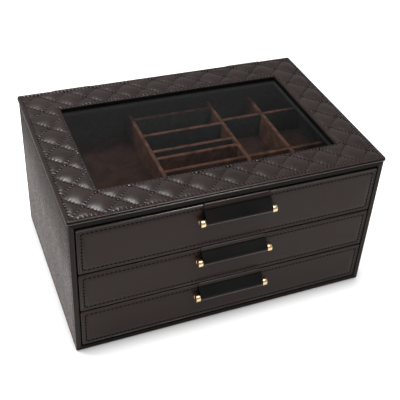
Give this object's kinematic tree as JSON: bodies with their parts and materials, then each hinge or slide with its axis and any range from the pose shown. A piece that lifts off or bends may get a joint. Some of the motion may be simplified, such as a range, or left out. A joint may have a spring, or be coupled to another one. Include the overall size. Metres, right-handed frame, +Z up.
{
  "type": "jewelry organizer box",
  "caption": "Leather covered jewelry box with divided pull-out drawers, strap and rod pulls, and a hinged quilted lid with a glass window.",
  "frame": {"origin": "middle of the box's underside, on the surface it stands on", "axes": "+X across the front, towards the right as seen from the front; +Y towards the hinged back, so the drawers open towards -Y; +Z up"},
  "size_m": [0.3, 0.2177, 0.155],
  "materials": {
    "carcass_leather": "fine grained, satin",
    "quilted_leather": "quilted, satin with a soft shine",
    "front_leather": "fine grained, satin, edge stitched",
    "strap_leather": "plain, satin",
    "lined_board": "board covered with dark suede",
    "divider_board": "board covered with brown suede",
    "suede_pad": "brown suede",
    "base_felt": "black felt",
    "window_glass": "clear float glass",
    "polished_brass": "pale gold, polished",
    "hinge_brass": "satin"
  },
  "bodies": {
    "carcass": {"back_panel": "carcass_leather", "base_felt": "base_felt", "bottom_panel": "carcass_leather", "front_top_rail": "carcass_leather", "left_side_panel": "carcass_leather", "right_side_panel": "carcass_leather", "lower_shelf": "lined_board", "upper_shelf": "lined_board", "hinge_body_leaves": "hinge_brass", "hinge_body_screws": "hinge_brass", "hinge_pins": "hinge_brass"},
    "lid": {"lid_rail_back": "carcass_leather", "lid_rail_front": "carcass_leather", "lid_rail_left": "carcass_leather", "lid_rail_right": "carcass_leather", "quilted_cover": "quilted_leather", "window_liner": "strap_leather", "window_glass": "window_glass", "glass_bead": "lined_board", "hinge_lid_leaves": "hinge_brass", "hinge_lid_screws": "hinge_brass"},
    "top_drawer": {"top_drawer_front": "front_leather", "top_drawer_left_wall": "lined_board", "top_drawer_right_wall": "lined_board", "top_drawer_back_wall": "lined_board", "top_drawer_base": "lined_board", "top_drawer_floor_pad": "suede_pad", "top_drawer_pull_strap": "strap_leather", "top_drawer_pull_rod": "polished_brass", "top_drawer_left_divider": "divider_board", "top_drawer_middle_divider": "divider_board", "top_drawer_right_divider": "divider_board", "top_drawer_middle_bay_divider_1": "divider_board", "top_drawer_middle_bay_divider_2": "divider_board", "top_drawer_middle_bay_divider_3": "divider_board", "top_drawer_middle_bay_divider_4": "divider_board", "top_drawer_middle_bay_divider_5": "divider_board", "top_drawer_right_bay_divider_1": "divider_board", "top_drawer_right_bay_divider_2": "divider_board"},
    "middle_drawer": {"middle_drawer_front": "front_leather", "middle_drawer_left_wall": "lined_board", "middle_drawer_right_wall": "lined_board", "middle_drawer_back_wall": "lined_board", "middle_drawer_base": "lined_board", "middle_drawer_floor_pad": "suede_pad", "middle_drawer_pull_strap": "strap_leather", "middle_drawer_pull_rod": "polished_brass", "middle_drawer_left_divider": "divider_board", "middle_drawer_right_divider": "divider_board"},
    "bottom_drawer": {"bottom_drawer_front": "front_leather", "bottom_drawer_left_wall": "lined_board", "bottom_drawer_right_wall": "lined_board", "bottom_drawer_back_wall": "lined_board", "bottom_drawer_base": "lined_board", "bottom_drawer_floor_pad": "suede_pad", "bottom_drawer_pull_strap": "strap_leather", "bottom_drawer_pull_rod": "polished_brass"}
  },
  "joints": [
    {"name": "lid_hinge", "type": "hinge", "parent": "carcass", "child": "lid", "pos_m": [0, 0.1043, 0.15125], "axis": [-1, 0, 0], "range_deg": [0, 95]},
    {"name": "top_drawer_slide", "type": "slide", "parent": "carcass", "child": "top_drawer", "axis": [0, -1, 0], "range_m": [0, 0.135]},
    {"name": "middle_drawer_slide", "type": "slide", "parent": "carcass", "child": "middle_drawer", "axis": [0, -1, 0], "range_m": [0, 0.135]},
    {"name": "bottom_drawer_slide", "type": "slide", "parent": "carcass", "child": "bottom_drawer", "axis": [0, -1, 0], "range_m": [0, 0.135]}
  ]
}
